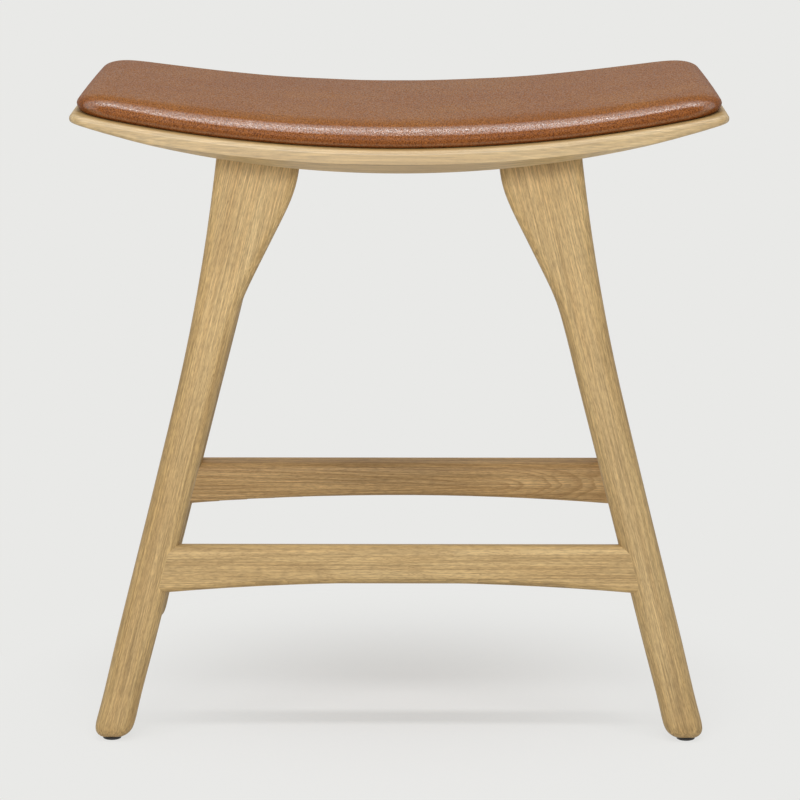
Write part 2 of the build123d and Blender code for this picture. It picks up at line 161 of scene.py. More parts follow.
def blendOf(tree, amount, first, second, mode="MIX"):
    node = tree.nodes.new("ShaderNodeMix")
    node.data_type = "RGBA"
    node.blend_type = mode
    plug(tree, amount, node.inputs["Factor"])
    plug(tree, first, node.inputs["A"])
    plug(tree, second, node.inputs["B"])
    return node.outputs["Result"]


def bumpOf(tree, height, strength, distance):
    node = tree.nodes.new("ShaderNodeBump")
    node.inputs["Strength"].default_value = strength
    node.inputs["Distance"].default_value = distance
    plug(tree, height, node.inputs["Height"])
    return node.outputs["Normal"]


white = (1.0, 1.0, 1.0, 1.0)


# Camera, lamps and floor

cameraSet = {
    "place": (0.0140, -2.7406, 0.79135),
    "pitch": 11.614,
    "turn": 0.292,
    "lens": 158.13,
    "sensor": 36.0,
    "farEnd": 60.0,
}


def makeCamera():
    data = bpy.data.cameras.new("camera")
    data.lens = cameraSet["lens"]
    data.sensor_width = cameraSet["sensor"]
    data.clip_end = cameraSet["farEnd"]
    camera = bpy.data.objects.new("camera", data)
    camera.location = cameraSet["place"]
    camera.rotation_euler = (math.radians(90 - cameraSet["pitch"]), 0, math.radians(cameraSet["turn"]))
    bpy.context.scene.collection.objects.link(camera)
    bpy.context.scene.camera = camera


lampSet = {
    # name: place, aim, width, depth, watts
    "topLamp": ((0.0, -0.82, 2.6), (0.0, -0.1, 0.45), 2.4, 0.24, 21.0),
    "softLamp": ((0.0, 0.1, 2.7), (0.0, 0.0, 0.3), 3.0, 2.2, 6.0),
    "nearLamp": ((-0.1, -1.25, 0.88), (0.0, 0.0, 0.47), 0.9, 0.3, 2.8),
    "frontLamp": ((-0.4, -3.3, 1.3), (0.0, 0.0, 0.42), 2.6, 1.5, 38.0),
}


def makeLamps():
    for name, (place, aim, width, depth, watts) in lampSet.items():
        data = bpy.data.lights.new(name, "AREA")
        data.shape = "RECTANGLE"
        data.size = width
        data.size_y = depth
        data.energy = watts
        lamp = bpy.data.objects.new(name, data)
        lamp.location = place
        lamp.rotation_euler = (Vector(aim) - Vector(place)).to_track_quat("-Z", "Y").to_euler()
        bpy.context.scene.collection.objects.link(lamp)


backdrop = {
    "screenColour": (233, 233, 231),
    "worldLevel": 0.45,
    "floorHalf": 16.0,
    "floorColour": 0.86,
    "floorBounce": 0.66,
    "floorRough": 0.9,
    "fadeCentre": (0.0, -0.08, 0.0),
    "fadeStart": 0.0,
    "fadeEnd": 0.36,
    "fadeLeast": 0.45,
}


def makeWorld():
    # the picture shows the backdrop colour, and the stool is lit by an even grey
    world = bpy.data.worlds.new("studio")
    world.use_nodes = True
    tree = world.node_tree
    tree.nodes.clear()
    output = tree.nodes.new("ShaderNodeOutputWorld")
    seen = tree.nodes.new("ShaderNodeBackground")
    seen.inputs["Color"].default_value = linearOf(backdrop["screenColour"])
    lit = tree.nodes.new("ShaderNodeBackground")
    lit.inputs["Color"].default_value = white
    lit.inputs["Strength"].default_value = backdrop["worldLevel"]
    mix = tree.nodes.new("ShaderNodeMixShader")
    tree.links.new(seenRays(tree), mix.inputs["Fac"])
    tree.links.new(lit.outputs[0], mix.inputs[1])
    tree.links.new(seen.outputs[0], mix.inputs[2])
    tree.links.new(mix.outputs[0], output.inputs["Surface"])
    bpy.context.scene.world = world


def makeFloor():
    half = backdrop["floorHalf"]
    mesh = bpy.data.meshes.new("floor")
    corners = [(-half, -half, 0), (half, -half, 0), (half, half, 0), (-half, half, 0)]
    mesh.from_pydata(corners, [], [(0, 1, 2, 3)])
    floor = bpy.data.objects.new("floor", mesh)
    bpy.context.scene.collection.objects.link(floor)
    material, tree, shader = startMaterial("paleFloor")
    # what is seen of the floor is paler than what it throws back on the stool
    seen = seenRays(tree)
    pale, dim = ((backdrop[level],) * 3 + (1.0,) for level in ("floorColour", "floorBounce"))
    tree.links.new(blendOf(tree, seen, dim, pale), shader.inputs["Base Color"])
    shader.inputs["Roughness"].default_value = backdrop["floorRough"]
    shader.inputs["Specular IOR Level"].default_value = 0.0
    # away from the stool the floor turns into the plain backdrop colour
    fade = tree.nodes.new("ShaderNodeMapRange")
    fade.interpolation_type = "SMOOTHSTEP"
    fade.inputs["From Min"].default_value = backdrop["fadeStart"]
    fade.inputs["From Max"].default_value = backdrop["fadeEnd"]
    fade.inputs["To Min"].default_value = backdrop["fadeLeast"]
    away = vectorSums(tree, "DISTANCE", worldPlace(tree), backdrop["fadeCentre"])
    tree.links.new(away, fade.inputs["Value"])
    glow = tree.nodes.new("ShaderNodeEmission")
    glow.inputs["Color"].default_value = linearOf(backdrop["screenColour"])
    mix = tree.nodes.new("ShaderNodeMixShader")
    output = tree.nodes["Material Output"]
    tree.links.new(sums(tree, "MULTIPLY", fade.outputs["Result"], seen), mix.inputs["Fac"])
    tree.links.new(shader.outputs["BSDF"], mix.inputs[1])
    tree.links.new(glow.outputs[0], mix.inputs[2])
    tree.links.new(mix.outputs[0], output.inputs["Surface"])
    mesh.materials.append(material)


makeCamera()
makeLamps()
makeWorld()
makeFloor()
bpy.context.scene.view_settings.view_transform = "Standard"
print("camera, lamps and floor ready")


# Wood

grain = {
    # rates per metre along the board, across it and into it
    "fibreRate": (9.0, 900.0, 900.0),
    "streakRate": (5.0, 150.0, 150.0),
    "cloudRate": (5.0, 17.0, 17.0),
    "gritRate": (150.0, 1100.0, 1100.0),
    "dashRate": (260.0, 1250.0, 1250.0),
    "fleckRate": (34.0, 92.0, 92.0),
    "broadRate": (4.5, 26.0, 26.0),
    "smallRate": (28.0, 190.0, 190.0),
    # how much finer waves count, and how much the widths of the rings vary
    "smallShare": 0.16,
    "unevenRate": 0.45,
    "unevenYears": 1.6,
    "seasons": [(0.0, 1.0), (0.14, 0.85), (0.4, 0.3), (0.66, 0.06), (0.9, 0.0), (1.0, 0.9)],
    "streaks": [(0.3, 0.0), (0.7, 1.0)],
    "fibres": [(0.3, 0.72), (0.5, 1.0), (0.7, 1.22)],
    "specks": [(0.3, 0.74), (0.5, 1.0), (0.7, 1.2)],
    "dashes": [(0.0, 1.0), (0.2, 0.85), (0.38, 0.0)],
    "flecks": [(0.0, 1.0), (0.035, 0.9), (0.06, 0.0)],
    "cloudReach": (0.28, 0.72),
    "fleckAmount": 0.55,
    "earlyPores": 0.5,
    "latePores": 0.4,
    # painted shade: the heights between which the wood turns darker towards the floor
    "lowShadeReach": (0.27, 0.40),
    "middleReach": (0.03, 0.1),
    "rough": [(0.2, 0.62), (0.8, 0.47)],
    "coatReach": (0.6, 0.82),
    "coatAtGlance": 0.2,
    "coatRough": 0.45,
    "coatIor": 1.8,
    "fibreLift": 0.35,
    "bump": (0.35, 0.00025),  # strength and depth
}


def boardPlace(tree, board):
    # world coordinates turned into the board's own: X along the grain, Z out of its face
    along = Vector(board["along"]).normalized()
    face = Vector(board["face"])
    face = (face - along * face.dot(along)).normalized()
    across = face.cross(along)
    turn = Matrix((along, across, face)).transposed().to_euler()
    mapping = tree.nodes.new("ShaderNodeMapping")
    mapping.vector_type = "TEXTURE"
    mapping.inputs["Location"].default_value = board["centre"]
    mapping.inputs["Rotation"].default_value = turn
    tree.links.new(worldPlace(tree), mapping.inputs["Vector"])
    return mapping.outputs["Vector"]


def archesOf(tree, x, y, arches):
    # how far the rings rise in nested arches, open to the left, where they just touch the face
    first = sums(tree, "MAXIMUM", sums(tree, "SUBTRACT", x, arches["startX"]), 0.0)
    first = sums(tree, "DIVIDE", first, arches["length"])
    second = sums(tree, "DIVIDE", sums(tree, "SUBTRACT", y, arches["middleY"]), arches["halfHeight"])
    return sums(tree, "SUBTRACT", 1.0, lengthOf(tree, first, second), clamp=True)


def ringsOf(tree, place, board):
    # growth rings round a pith line that runs a little askew through the log
    x, y, z = axesOf(tree, place)
    pith, askew = board["pith"], board["askew"]
    sideways = sums(tree, "SUBTRACT", y, pith[0])
    sideways = sums(tree, "SUBTRACT", sideways, sums(tree, "MULTIPLY", x, askew[0]))
    outwards = sums(tree, "SUBTRACT", z, pith[1])
    outwards = sums(tree, "SUBTRACT", outwards, sums(tree, "MULTIPLY", x, askew[1]))
    radius = lengthOf(tree, sideways, outwards)
    moved = vectorSums(tree, "ADD", place, board["shift"])
    broad = drawnNoise(tree, moved, grain["broadRate"], detail=2.0)
    small = drawnNoise(tree, moved, grain["smallRate"], detail=2.0)
    wave, smallWave = board["wave"], board["wave"] * grain["smallShare"]
    radius = sums(tree, "ADD", radius, sums(tree, "MULTIPLY", broad, wave))
    radius = sums(tree, "ADD", radius, sums(tree, "MULTIPLY", small, smallWave))
    if "arches" in board:
        rise = archesOf(tree, x, y, board["arches"])
        rise = sums(tree, "MULTIPLY", rise, board["arches"]["count"] * board["ringWidth"])
        radius = sums(tree, "ADD", radius, rise)
    years = sums(tree, "DIVIDE", radius, board["ringWidth"])
    uneven = tree.nodes.new("ShaderNodeTexNoise")
    uneven.noise_dimensions = "1D"
    tree.links.new(years, uneven.inputs["W"])
    uneven.inputs["Scale"].default_value = grain["unevenRate"]
    uneven.inputs["Detail"].default_value = 1.0
    sway = sums(tree, "MULTIPLY", uneven.outputs["Fac"], grain["unevenYears"])
    years = sums(tree, "ADD", years, sway)
    return rampOf(tree, sums(tree, "FRACT", years), grain["seasons"]), moved


def makeOak(board):
    material, tree, shader = startMaterial(board["name"])
    place = boardPlace(tree, board)
    early, moved = ringsOf(tree, place, board)
    light, dark, line, pore, patchDark = (
        linearOf(board[name]) for name in ("light", "dark", "line", "pore", "patchDark"))
    fibre = drawnNoise(tree, moved, grain["fibreRate"], detail=1.0, roughness=0.6)
    streak = drawnNoise(tree, moved, grain["streakRate"], detail=3.0, roughness=0.55)
    cloud = drawnNoise(tree, moved, grain["cloudRate"], detail=2.0)
    grit = drawnNoise(tree, moved, grain["gritRate"], detail=1.0)
    pores = rampOf(tree, drawnDots(tree, moved, grain["dashRate"]), grain["dashes"])
    flecks = rampOf(tree, drawnDots(tree, moved, grain["fleckRate"]), grain["flecks"])
    colour = blendOf(tree, rampOf(tree, streak, grain["streaks"]), dark, light)
    colour = blendOf(tree, board["fibre"], colour, rampOf(tree, fibre, grain["fibres"]), "MULTIPLY")
    colour = blendOf(tree, board["grit"], colour, rampOf(tree, grit, grain["specks"]), "MULTIPLY")
    start, end = grain["cloudReach"]
    patches = rampOf(tree, cloud, [(start, patchDark), (end, white)])
    colour = blendOf(tree, board["patch"], colour, patches, "MULTIPLY")
    colour = blendOf(tree, sums(tree, "MULTIPLY", early, board["lines"]), colour, line)
    poreAmount = sums(tree, "MULTIPLY_ADD", early, grain["earlyPores"], grain["latePores"])
    poreAmount = sums(tree, "MULTIPLY", sums(tree, "MULTIPLY", pores, poreAmount), board["pores"])
    colour = blendOf(tree, poreAmount, colour, pore)
    colour = blendOf(tree, sums(tree, "MULTIPLY", flecks, grain["fleckAmount"]), colour, pore)
    # painted shade: the wood is made a little darker below the flared leg tops, for the light that
    # falls off towards the floor
    start, end = grain["lowShadeReach"]
    height = axesOf(tree, worldPlace(tree))["Z"]
    lower = rampOf(tree, height, [(start, board["tone"] * board["lowShadeTone"]), (end, board["tone"])])
    colour = blendOf(tree, 1.0, colour, lower, "MULTIPLY")
    # a browner stretch in the middle of the board
    start, end = grain["middleReach"]
    along = sums(tree, "ABSOLUTE", axesOf(tree, place)["X"])
    brown = rampOf(tree, along, [(start, 1 - board["middleDarken"]), (end, 1.0)])
    colour = blendOf(tree, 1.0, colour, brown, "MULTIPLY")
    tree.links.new(colour, shader.inputs["Base Color"])
    tree.links.new(rampOf(tree, fibre, grain["rough"]), shader.inputs["Roughness"])
    shader.inputs["Specular IOR Level"].default_value = board["gloss"]
    # the finish shines less where it is seen at a glancing angle
    start, end = grain["coatReach"]
    coat, glanceCoat = board["coat"], board["coat"] * grain["coatAtGlance"]
    shine = rampOf(tree, facingOf(tree), [(start, coat), (end, glanceCoat)])
    tree.links.new(shine, shader.inputs["Coat Weight"])
    shader.inputs["Coat Roughness"].default_value = grain["coatRough"]
    shader.inputs["Coat IOR"].default_value = grain["coatIor"]
    depth = sums(tree, "SUBTRACT", sums(tree, "MULTIPLY", fibre, grain["fibreLift"]), poreAmount)
    tree.links.new(bumpOf(tree, depth, *grain["bump"]), shader.inputs["Normal"])
    return material


def dressNode(name, material):
    node = nodes[name]
    for number in range(len(node.material_slots)):
        node.material_slots[number].material = material


oak = {
    "light": (217, 187, 133),
    "dark": (199, 166, 112),
    "line": (170, 137, 86),
    "pore": (132, 102, 62),
    "patchDark": (232, 222, 205),
    "fibre": 0.9,
    "patch": 0.8,
    "grit": 0.85,
    "lines": 0.25,
    "pores": 0.5,
    "gloss": 0.35,
    "coat": 0.0,
    # painted shade towards the floor, as a share of the tone
    "lowShadeTone": 0.81,
    "tone": 1.0,
    "middleDarken": 0.0,
}
boards = []

legWood = {"pith": (0.085, -0.08), "askew": (0.012, 0.004), "ringWidth": 0.0021, "wave": 0.004}
legSet = {
    "centre": (0.165, 0.134, 0.215),
    "lean": (0.2535, 0.168),
    "firstShift": 0.11,
    "shift": (0.37, 0.013, 0.021),
    # painted shade: the right legs are made a little darker, for light that comes more from the left
    "rightShadeTone": 0.96,
}
legX, legY, legZ = legSet["centre"]
leanX, leanY = legSet["lean"]
shiftX, shiftY, shiftZ = legSet["shift"]
for rowName, row in (("front", -1), ("back", 1)):
    for sideName, side in (("left", -1), ("right", 1)):
        number = len(boards)
        node = rowName + "_" + sideName + "_leg"
        boards.append({
            **oak, **legWood,
            "name": "oak_" + node, "node": node,
            "centre": (side * legX, row * legY, legZ),
            "along": (-side * leanX, -row * leanY, 1.0),
            "face": (0.0, row, leanY),
            "shift": (shiftX * number + legSet["firstShift"], shiftY * number, shiftZ * number),
            "tone": legSet["rightShadeTone"] if side > 0 else oak["tone"],
        })

stretcherWood = {"ringWidth": 0.0034, "wave": 0.012, "askew": (0.006, 0.035)}
boards.append({
    **oak, **stretcherWood,
    "name": "oak_front_stretcher", "node": "front_stretcher",
    "centre": (0.0, -0.152, 0.128), "along": (1.0, 0.0, 0.0), "face": (0.0, -1.0, 0.17),
    "pith": (0.004, -0.036), "shift": (2.31, 0.05, 0.02),
})
boards.append({
    **oak, **stretcherWood,
    "name": "oak_back_stretcher", "node": "back_stretcher",
    "centre": (0.0, 0.152, 0.128), "along": (1.0, 0.0, 0.0), "face": (0.0, -1.0, -0.17),
    "pith": (-0.005, -0.030), "shift": (3.77, 0.02, 0.06),
    "light": (224, 188, 134), "dark": (194, 157, 104), "line": (150, 110, 62),
    "lowShadeTone": 0.94, "lines": 0.45, "middleDarken": 0.17,
    "arches": {"startX": 0.075, "middleY": -0.001, "length": 0.095, "halfHeight": 0.02, "count": 6.5},
})

railSet = {"sideways": 0.117, "height": 0.4, "shift": (4.4, 0.03, 0.01)}
for sideName, side in (("left", -1), ("right", 1)):
    node = sideName + "_side_rail"
    shiftX, shiftY, shiftZ = railSet["shift"]
    boards.append({
        **oak, **stretcherWood,
        "name": "oak_" + node, "node": node,
        "centre": (side * railSet["sideways"], 0.0, railSet["height"]),
        "along": (0.0, 1.0, 0.0), "face": (1.0, 0.0, 0.0),
        "pith": (0.01, -0.04), "shift": (shiftX + side, shiftY, shiftZ),
    })

boards.append({
    **oak,
    "name": "oak_seat_plate", "node": "seat_plate",
    "centre": (0.0, 0.0, 0.45), "along": (1.0, 0.0, 0.0), "face": (0.0, 0.0, 1.0),
    "pith": (0.02, -0.09), "askew": (0.01, 0.03), "shift": (6.1, 0.04, 0.08),
    "ringWidth": 0.0026, "wave": 0.004,
    "light": (202, 174, 122), "dark": (183, 153, 99), "line": (166, 134, 81), "pore": (137, 106, 60),
    "grit": 0.25, "lines": 0.4, "pores": 0.3, "coat": 1.0,
})

for board in boards:
    dressNode(board["node"], makeOak(board))
print("oak done:", len(boards), "boards")


# Leather

leather = {
    "base": (152, 90, 42),
    "deep": (90, 44, 16),
    "worn": (162, 101, 50),
    # painted light: how much paler the top is made
    "fade": (1.12, 1.23, 1.08, 1.0),
    "litTopReach": (0.8, 0.97),
    # rates per metre
    "wobbleRate": 700.0,
    "pebbleRate": 1300.0,
    "creaseRate": 330.0,
    "broadRate": 16.0,
    "mottleRate": 1200.0,
    "dappleRate": 260.0,
    "napRate": (850.0, 240.0, 850.0),
    # how far the pattern wanders, then ramps, each with how strong it is
    "wobble": 0.0004,
    "creases": [(0.0, 0.0), (0.10, 1.0)],
    "wear": [(0.35, 0.0), (0.68, 1.0)],
    "dips": [(0.28, 0.0), (0.62, 1.0)],
    "dipAmount": 0.8,
    "mottles": [(0.3, 0.72), (0.7, 1.2)],
    "mottleAmount": 0.85,
    "dapples": [(0.3, 0.9), (0.7, 1.08)],
    "dappleAmount": 0.8,
    "rough": [(0.3, 0.30), (0.7, 0.42)],
    # how glossy it is, from face on to edge on
    "gloss": [(0.0, 0.07), (0.08, 0.1), (0.19, 0.95), (0.32, 0.95),
              (0.45, 0.19), (0.64, 0.19), (0.76, 0.32)],
    "nap": [(0.3, 0.55), (0.7, 1.4)],
    "coatIor": 2.1,
    "coatRough": 0.3,
    "creaseLift": 0.25,
    "mottleLift": 0.3,
    "bump": (0.9, 0.0005),  # strength and depth
    "coatBump": (0.3, 0.0005),
}


def makeLeather():
    material, tree, shader = startMaterial("leather_cognac")
    place = worldPlace(tree)
    wobble = noiseOf(tree, place, leather["wobbleRate"], detail=2.0, output="Color")
    warped = vectorSums(tree, "ADD", place, vectorSums(tree, "SCALE", wobble, leather["wobble"]))
    pebbles = voronoiOf(tree, warped, leather["pebbleRate"], "SMOOTH_F1")
    creases = voronoiOf(tree, warped, leather["creaseRate"], "DISTANCE_TO_EDGE")
    creases = rampOf(tree, creases, leather["creases"])
    wear = noiseOf(tree, place, leather["broadRate"], detail=3.0, roughness=0.55)
    wear = rampOf(tree, wear, leather["wear"])
    mottle = noiseOf(tree, place, leather["mottleRate"], detail=2.0, roughness=0.6)
    dapple = noiseOf(tree, place, leather["dappleRate"], detail=2.0, roughness=0.6)
    colour = blendOf(tree, wear, linearOf(leather["base"]), linearOf(leather["worn"]))
    dip = sums(tree, "MULTIPLY", rampOf(tree, pebbles, leather["dips"]), leather["dipAmount"])
    colour = blendOf(tree, dip, colour, linearOf(leather["deep"]))
    for shade, stops, amount in (
            (mottle, "mottles", "mottleAmount"), (dapple, "dapples", "dappleAmount")):
        shade = rampOf(tree, shade, leather[stops])
        colour = blendOf(tree, leather[amount], colour, shade, "MULTIPLY")
    # painted light: the top is made paler, standing in for the light and sheen that fall on it from
    # above
    upward = axesOf(tree, tree.nodes.new("ShaderNodeNewGeometry").outputs["Normal"])["Z"]
    start, end = leather["litTopReach"]
    litTop = rampOf(tree, upward, [(start, white), (end, leather["fade"])])
    colour = blendOf(tree, 1.0, colour, litTop, "MULTIPLY")
    tree.links.new(colour, shader.inputs["Base Color"])
    tree.links.new(rampOf(tree, mottle, leather["rough"]), shader.inputs["Roughness"])
    shader.inputs["Specular IOR Level"].default_value = 0.0
    nap = rampOf(tree, drawnNoise(tree, place, leather["napRate"], detail=1.0), leather["nap"])
    gloss = sums(tree, "MULTIPLY", rampOf(tree, facingOf(tree), leather["gloss"]), nap)
    tree.links.new(gloss, shader.inputs["Coat Weight"])
    shader.inputs["Coat IOR"].default_value = leather["coatIor"]
    shader.inputs["Coat Roughness"].default_value = leather["coatRough"]
    height = sums(tree, "ADD", sums(tree, "MULTIPLY", pebbles, -1.0),
                  sums(tree, "MULTIPLY", creases, leather["creaseLift"]))
    height = sums(tree, "ADD", height, sums(tree, "MULTIPLY", mottle, leather["mottleLift"]))
    tree.links.new(bumpOf(tree, height, *leather["bump"]), shader.inputs["Normal"])
    tree.links.new(bumpOf(tree, height, *leather["coatBump"]), shader.inputs["Coat Normal"])
    return material


# Cushion: a leather shell round foam, on the saddle of the seat plate

saddle = {"top": 0.449, "radius": 1.225}
padSet = {
    "halfWidth": 0.24305,
    "halfDepth": 0.1530,
    "sideBow": 0.0185,
    "endBow": 0.0009,
    "corner": 0.028,
    "leastCorner": 0.008,
    "gap": 0.00015,
    "thick": 0.0178,
    "thinEnds": 0.0014,
    "endDrop": 0.0012,
    "crown": 0.0030,
    "topRound": 0.0111,
    "underRound": 0.0055,
    "endLean": 0.010,
    "hide": 0.0013,
    # how far in from the outline the loops lie, underneath and on top
    "underInsets": (0.024, 0.016, 0.009),
    "topInsets": (0.017, 0.024, 0.031),
    # counts of faces, and of steps in the drawn outline
    "across": 64,
    "along": 42,
    "underSteps": 4,
    "topSteps": 7,
    "frontSteps": 60,
    "cornerSteps": 24,
    "endSteps": 40,
    "trials": 30,
}


def padOutline(inset):
    # one quarter of the bowed, round-cornered outline, from the middle of the front to the
    # middle of the right end, and how far along it the middle of the corner is
    width = padSet["halfWidth"] - inset
    depth = padSet["halfDepth"] - inset
    bow, endBow = padSet["sideBow"], padSet["endBow"]
    flatX, flatY = width - endBow, depth - bow
    corner = max(padSet["corner"] - inset, padSet["leastCorner"])
    xTouch, yTouch = flatX - corner, flatY - corner
    # each trial brings the ends of the corner's arc closer to where it meets the bows
    for _ in range(padSet["trials"]):
        slopeX = 2 * bow * xTouch / flatX ** 2
        slopeY = 2 * endBow * yTouch / flatY ** 2
        frontNormal = Vector((slopeX, 1.0)).normalized()
        endNormal = Vector((1.0, slopeY)).normalized()
        centreX = width - endBow * (yTouch / flatY) ** 2 - corner * endNormal.x
        centreY = depth - bow * (xTouch / flatX) ** 2 - corner * frontNormal.y
        xTouch = centreX + corner * frontNormal.x
        yTouch = centreY + corner * endNormal.y
    frontSteps, cornerSteps, endSteps = padSet["frontSteps"], padSet["cornerSteps"], padSet["endSteps"]
    points = []
    for n in range(frontSteps):
        x = xTouch * n / frontSteps
        points.append((x, depth - bow * (x / flatX) ** 2))
    start, end = math.atan2(frontNormal.y, frontNormal.x), math.atan2(endNormal.y, endNormal.x)
    middle = len(points) + cornerSteps // 2
    for n in range(cornerSteps + 1):
        angle = start + (end - start) * n / cornerSteps
        points.append((centreX + corner * math.cos(angle), centreY + corner * math.sin(angle)))
    for n in range(endSteps - 1, -1, -1):
        y = yTouch * n / endSteps
        points.append((width - endBow * (y / flatY) ** 2, y))
    return points, middle


def spacedOut(points, count):
    # count + 1 points at even distances along a line of points
    lengths = [0.0]
    for first, second in zip(points, points[1:]):
        lengths.append(lengths[-1] + math.dist(first, second))
    result, place = [], 0
    for n in range(count + 1):
        target = lengths[-1] * n / count
        while place < len(points) - 2 and lengths[place + 1] < target:
            place += 1
        share = (target - lengths[place]) / (lengths[place + 1] - lengths[place])
        a, b = points[place], points[place + 1]
        result.append((a[0] + (b[0] - a[0]) * share, a[1] + (b[1] - a[1]) * share))
    return result


def padLoop(inset):
    # the whole outline as one loop of points, from the front left corner, anticlockwise from above
    quarter, middle = padOutline(inset)
    halfFront = quarter[:middle + 1]
    halfEnd = quarter[middle:]
    front = [(-x, -y) for x, y in reversed(halfFront)] + [(x, -y) for x, y in halfFront[1:]]
    right = [(x, -y) for x, y in halfEnd] + [(x, y) for x, y in reversed(halfEnd[:-1])]
    front = spacedOut(front, padSet["across"])
    right = spacedOut(right, padSet["along"])
    back = [(-x, -y) for x, y in front]
    left = [(-x, -y) for x, y in right]
    return front[:-1] + right[:-1] + back[:-1] + left[:-1]


def padTop(x, y, thick, crown):
    across = min(abs(x) / padSet["halfWidth"], 1.0)
    along = min(abs(y) / padSet["halfDepth"], 1.0)
    height = thick - padSet["thinEnds"] * across ** 2 - padSet["endDrop"] * across ** 8
    return height + crown * (1 - across ** 4) * (1 - along ** 2)


def onSaddle(x, y, height):
    reach = saddle["radius"] - height
    return Vector((x, y, saddle["top"] + saddle["radius"] - math.sqrt(reach ** 2 - x ** 2)))


def padMesh(name, profile, thick, crown):
    # profile: inset, "low" or "top", offset; its first and last loops are filled with grids
    mesh = bmesh.new()
    countX, countY = padSet["across"], padSet["along"]
    ringSize = 2 * (countX + countY)
    loops = []

    def heightOf(x, y, anchor, offset):
        # the rounding is smaller where the pad is thinner
        whole = padTop(x, y, thick, crown)
        return offset if anchor == "low" else whole + offset * min(whole / thick, 1.0)

    for inset, anchor, offset in profile:
        # the top is drawn in further at the two ends than at the front and back
        lean = padSet["endLean"] * min(inset / padSet["topRound"], 1.0) if anchor == "top" else 0.0
        flat = [(x * (1 - lean / padSet["halfWidth"]), y) for x, y in padLoop(inset)]
        loops.append([mesh.verts.new(onSaddle(x, y, heightOf(x, y, anchor, offset))) for x, y in flat])
    for lower, upper in zip(loops, loops[1:]):
        for n in range(ringSize):
            after = (n + 1) % ringSize
            mesh.faces.new((lower[n], lower[after], upper[after], upper[n]))
    grids = []
    for end, facing in ((0, -1), (-1, 1)):
        loop = loops[end]
        anchor, offset = profile[end][1:]
        front = loop[:countX + 1]
        right = loop[countX:countX + countY + 1]
        back = list(reversed(loop[countX + countY:2 * countX + countY + 1]))
        left = list(reversed(loop[2 * countX + countY:] + loop[:1]))
        rows = []
        for j in range(countY + 1):
            v = j / countY
            line = []
            for i in range(countX + 1):
                u = i / countX
                if j == 0:
                    line.append(front[i])
                elif j == countY:
                    line.append(back[i])
                elif i == 0:
                    line.append(left[j])
                elif i == countX:
                    line.append(right[j])
                else:
                    # between the four sides, less what the corners count twice
                    place = (front[i].co * (1 - v) + back[i].co * v
                             + left[j].co * (1 - u) + right[j].co * u
                             - front[0].co * (1 - u) * (1 - v) - front[-1].co * u * (1 - v)
                             - back[0].co * (1 - u) * v - back[-1].co * u * v)
                    height = heightOf(place.x, place.y, anchor, offset)
                    line.append(mesh.verts.new(onSaddle(place.x, place.y, height)))
            rows.append(line)
        faces = []
        for j in range(countY):
            for i in range(countX):
                corners = (rows[j][i], rows[j][i + 1], rows[j + 1][i + 1], rows[j + 1][i])
                faces.append(mesh.faces.new(corners if facing > 0 else tuple(reversed(corners))))
        grids.append(faces)
    mesh.faces.index_update()
    underFaces = [face.index for face in grids[0]]
    data = bpy.data.meshes.new(name)
    mesh.to_mesh(data)
    mesh.free()
    for polygon in data.polygons:
        polygon.use_smooth = True
    piece = bpy.data.objects.new(name, data)
    bpy.context.scene.collection.objects.link(piece)
    return piece, underFaces


def quarterTurn(radius, steps, anchor, base, inset, top):
    # part of a profile: a quarter circle, bulging outwards, at a top or a bottom edge
    turns = [math.radians(90 * n / steps) for n in range(steps + 1)]
    shrinking = [radius * (1 - math.sin(a)) for a in turns]
    growing = [radius * (1 - math.cos(a)) for a in turns]
    if top:
        return [(inset + g, anchor, base - s) for s, g in zip(shrinking, growing)]
    return [(inset + s, anchor, base + g) for s, g in zip(shrinking, growing)]


clothSet = {
    "pressure": 4.0,
    "mass": 0.3,
    "quality": 6,
    "tension": 20.0,
    "bending": 2.0,
    "frames": 20,
    "farthest": 0.0014,
    "freeFrom": 0.006,
    "freeAbove": 0.013,
    "smallestStep": 1e-9,
}


def swell(piece):
    # cloth blown up a little by pressure, with its underside and lower sides held
    rest = [v.co.copy() for v in piece.data.vertices]
    lift = [v.co.z - onSaddle(v.co.x, v.co.y, 0.0).z for v in piece.data.vertices]
    freeHeight = clothSet["freeAbove"] - clothSet["freeFrom"]
    free = [min(max((h - clothSet["freeFrom"]) / freeHeight, 0.0), 1.0) for h in lift]
    pinned = piece.vertex_groups.new(name="pinned")
    for index, value in enumerate(free):
        pinned.add([index], 1.0 - value, "REPLACE")
    cloth = piece.modifiers.new("cloth", "CLOTH")
    cloth.settings.quality = clothSet["quality"]
    cloth.settings.mass = clothSet["mass"]
    cloth.settings.use_pressure = True
    cloth.settings.uniform_pressure_force = clothSet["pressure"]
    cloth.settings.tension_stiffness = clothSet["tension"]
    cloth.settings.bending_stiffness = clothSet["bending"]
    cloth.settings.vertex_group_mass = "pinned"
    cloth.settings.effector_weights.gravity = 0.0
    cloth.collision_settings.use_collision = False
    scene = bpy.context.scene
    for number in range(1, clothSet["frames"] + 1):
        scene.frame_set(number)
    shape = piece.evaluated_get(bpy.context.evaluated_depsgraph_get()).to_mesh()
    moved = [v.co.copy() for v in shape.vertices]
    piece.evaluated_get(bpy.context.evaluated_depsgraph_get()).to_mesh_clear()
    piece.modifiers.remove(cloth)
    scene.frame_set(1)
    farthest = clothSet["farthest"]
    for vertex, start, end, value in zip(piece.data.vertices, rest, moved, free):
        step = end - start
        if step.length > clothSet["smallestStep"]:
            length = farthest * math.tanh(step.length / farthest) * min(value * 2, 1.0)
            vertex.co = start + step.normalized() * length


def smoothAndDress(piece, material):
    finer = piece.modifiers.new("finer", "SUBSURF")
    finer.levels = 1
    finer.render_levels = 1
    piece.data.materials.append(material)


